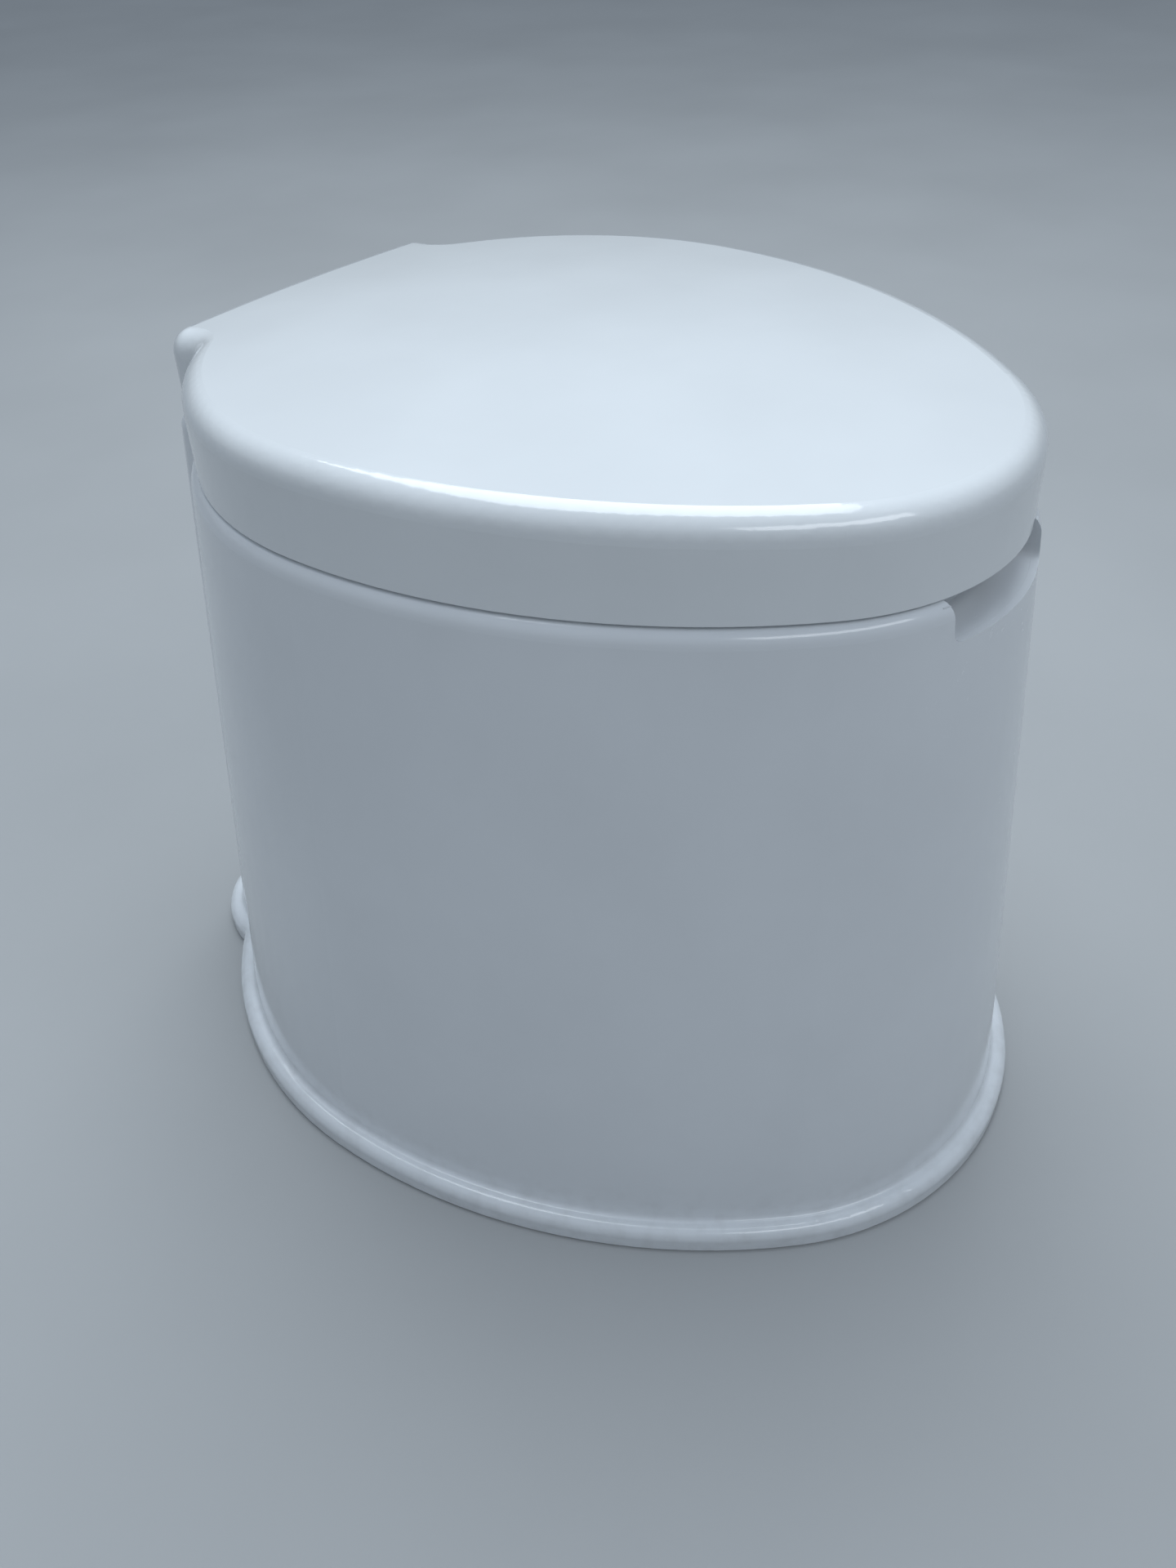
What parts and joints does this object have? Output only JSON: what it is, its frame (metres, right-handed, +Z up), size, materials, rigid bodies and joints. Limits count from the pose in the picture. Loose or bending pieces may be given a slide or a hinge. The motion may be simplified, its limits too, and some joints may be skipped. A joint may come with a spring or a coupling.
{
  "type": "portable camp toilet",
  "caption": "Drafted egg-shaped plastic toilet with a foot flange, hinged seat ring, hinged lid with a finger notch, and a lift-out bucket with a fold-handle cover.",
  "frame": {"origin": "on the floor, under the centre of the overall plan box", "axes": "+Z up, -Y towards the front with the finger notch, +Y towards the hinge, +X to the user's left when seated facing the front"},
  "size_m": [0.3688, 0.4368, 0.35],
  "materials": {
    "shell_plastic": "glossy injection-moulded white plastic",
    "lid_plastic": "glossy white plastic, faintly orange-peeled",
    "seat_plastic": "satin-gloss white plastic",
    "bucket_plastic": "satin white plastic",
    "grey_plastic": "matt grey plastic",
    "hinge_plastic": "matt off-white plastic",
    "pin_plastic": "smooth light grey plastic",
    "steel": "zinc-plated steel",
    "pad_rubber": "dark grey rubber",
    "bumper_rubber": "pale grey rubber",
    "seal_rubber": "grey silicone rubber"
  },
  "bodies": {
    "base": {"body_shell": "shell_plastic", "foot_pad_front_left": "pad_rubber", "foot_pad_front_right": "pad_rubber", "foot_pad_side_left": "pad_rubber", "foot_pad_side_right": "pad_rubber", "foot_pad_rear_left": "pad_rubber", "foot_pad_rear_right": "pad_rubber", "inner_bucket": "bucket_plastic", "bail_handle": "steel", "bail_grip": "grey_plastic", "bucket_cover": "bucket_plastic", "cover_seal": "seal_rubber", "hinge_bracket_left": "hinge_plastic", "hinge_bracket_right": "hinge_plastic", "hinge_pin_left": "pin_plastic", "hinge_pin_right": "pin_plastic", "pin_clips": "steel", "hinge_screws": "steel", "hinge_nuts": "steel"},
    "seat_body": {"seat_ring": "seat_plastic", "seat_bumper_front_left": "bumper_rubber", "seat_bumper_front_right": "bumper_rubber", "seat_bumper_rear_left": "bumper_rubber", "seat_bumper_rear_right": "bumper_rubber"},
    "lid_body": {"lid": "lid_plastic", "lid_bumper_front_left": "bumper_rubber", "lid_bumper_front_right": "bumper_rubber", "lid_bumper_rear_left": "bumper_rubber", "lid_bumper_rear_right": "bumper_rubber"},
    "cover_handle_body": {"cover_handle": "grey_plastic"}
  },
  "joints": [
    {"name": "seat_hinge", "type": "hinge", "parent": "base", "child": "seat_body", "pos_m": [0, 0.175, 0.328], "axis": [-1, 0, 0], "range_deg": [0, 95]},
    {"name": "lid_hinge", "type": "hinge", "parent": "seat_body", "child": "lid_body", "pos_m": [0, 0.175, 0.328], "axis": [-1, 0, 0], "range_deg": [0, 95]},
    {"name": "cover_handle_hinge", "type": "hinge", "parent": "base", "child": "cover_handle_body", "pos_m": [0, -0.0095, 0.302], "axis": [-1, 0, 0], "range_deg": [0, 90]}
  ]
}
